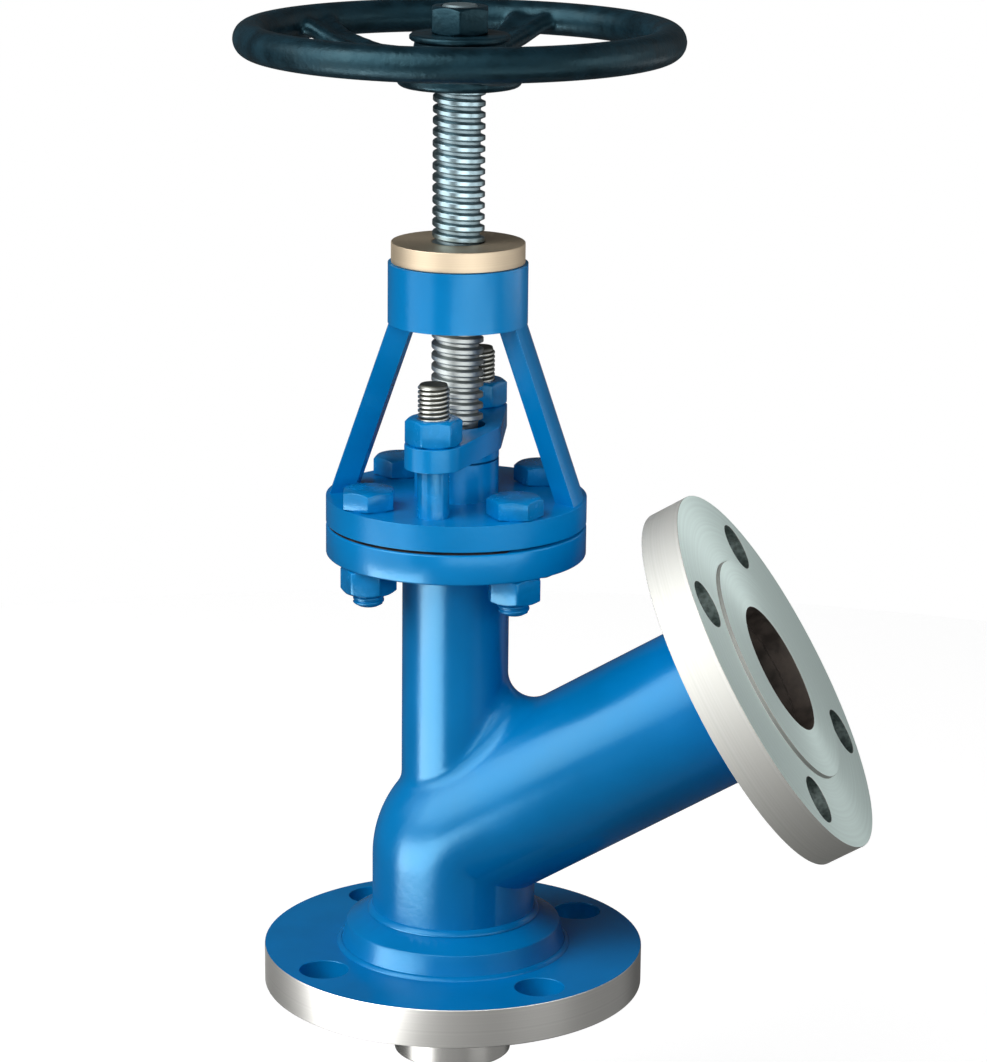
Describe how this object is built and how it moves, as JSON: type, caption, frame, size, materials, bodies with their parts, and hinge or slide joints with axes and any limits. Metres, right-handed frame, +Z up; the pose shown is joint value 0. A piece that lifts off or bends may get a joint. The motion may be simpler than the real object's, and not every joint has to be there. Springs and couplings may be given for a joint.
{
  "type": "flush bottom valve",
  "caption": "Y-pattern flush bottom valve with tank flange, angled outlet flange, open yoke, rising stem and dished handwheel, shown open.",
  "frame": {"origin": "centre of the tank flange's face", "axes": "+Z up along the stem towards the handwheel; +X level, above which the outlet branch rises; +Y completes the frame, along the line of the gland studs"},
  "size_m": [0.2498, 0.1702, 0.417],
  "materials": {
    "painted_casting": "blue enamel over cast steel, machined edges left bare",
    "flange_steel": "turned steel, left bare",
    "painted_fastener": "blue enamel over steel fasteners",
    "gland_steel": "turned steel, painted where it shows",
    "seat_steel": "turned stainless steel",
    "disc_steel": "turned stainless steel",
    "stem_steel": "turned and thread-cut stainless steel",
    "stud_steel": "steel studs, painted below the gland",
    "hard_steel": "hardened steel, ground",
    "bronze": "turned aluminium bronze",
    "gasket_sheet": "compressed fibre sheet",
    "packing_graphite": "braided graphite packing",
    "wheel_iron": "dark blue-green lacquer over cast iron"
  },
  "bodies": {
    "valve": {"tank_flange": "painted_casting", "valve_body": "painted_casting", "outlet_pipe": "painted_casting", "outlet_flange": "flange_steel", "yoke": "painted_casting", "gland_flange": "painted_casting", "gland_follower": "gland_steel", "seat_ring": "seat_steel", "seat_gasket": "gasket_sheet", "bonnet_gasket": "gasket_sheet", "stem_guide_bush": "bronze", "packing_base_ring": "bronze", "yoke_bush": "bronze", "bush_pin": "hard_steel", "packing_ring_1": "packing_graphite", "bonnet_bolt_1": "painted_fastener", "bonnet_nut_1": "painted_fastener", "packing_ring_2": "packing_graphite", "bonnet_bolt_2": "painted_fastener", "bonnet_nut_2": "painted_fastener", "packing_ring_3": "packing_graphite", "bonnet_bolt_3": "painted_fastener", "bonnet_nut_3": "painted_fastener", "packing_ring_4": "packing_graphite", "bonnet_bolt_4": "painted_fastener", "bonnet_nut_4": "painted_fastener", "gland_stud_1": "stud_steel", "gland_nut_1": "painted_fastener", "gland_stud_2": "stud_steel", "gland_nut_2": "painted_fastener"},
    "plug": {"disc": "disc_steel", "disc_nut": "disc_steel"},
    "spindle": {"stem": "stem_steel", "split_ring_left": "hard_steel", "split_ring_right": "hard_steel", "handwheel": "wheel_iron", "handwheel_key": "hard_steel", "handwheel_washer": "wheel_iron", "handwheel_nut": "wheel_iron"}
  },
  "joints": [
    {"name": "disc_lift", "type": "slide", "parent": "valve", "child": "plug", "axis": [0, 0, 1], "range_m": [0, 0.03]},
    {"name": "handwheel_turn", "type": "hinge", "parent": "plug", "child": "spindle", "pos_m": [0, 0, 0], "axis": [0, 0, 1], "range_deg": [-2700, 0]}
  ],
  "couplings": [
    {"joint": "disc_lift", "follows": "handwheel_turn", "m_per_rad": -0.00063662}
  ]
}
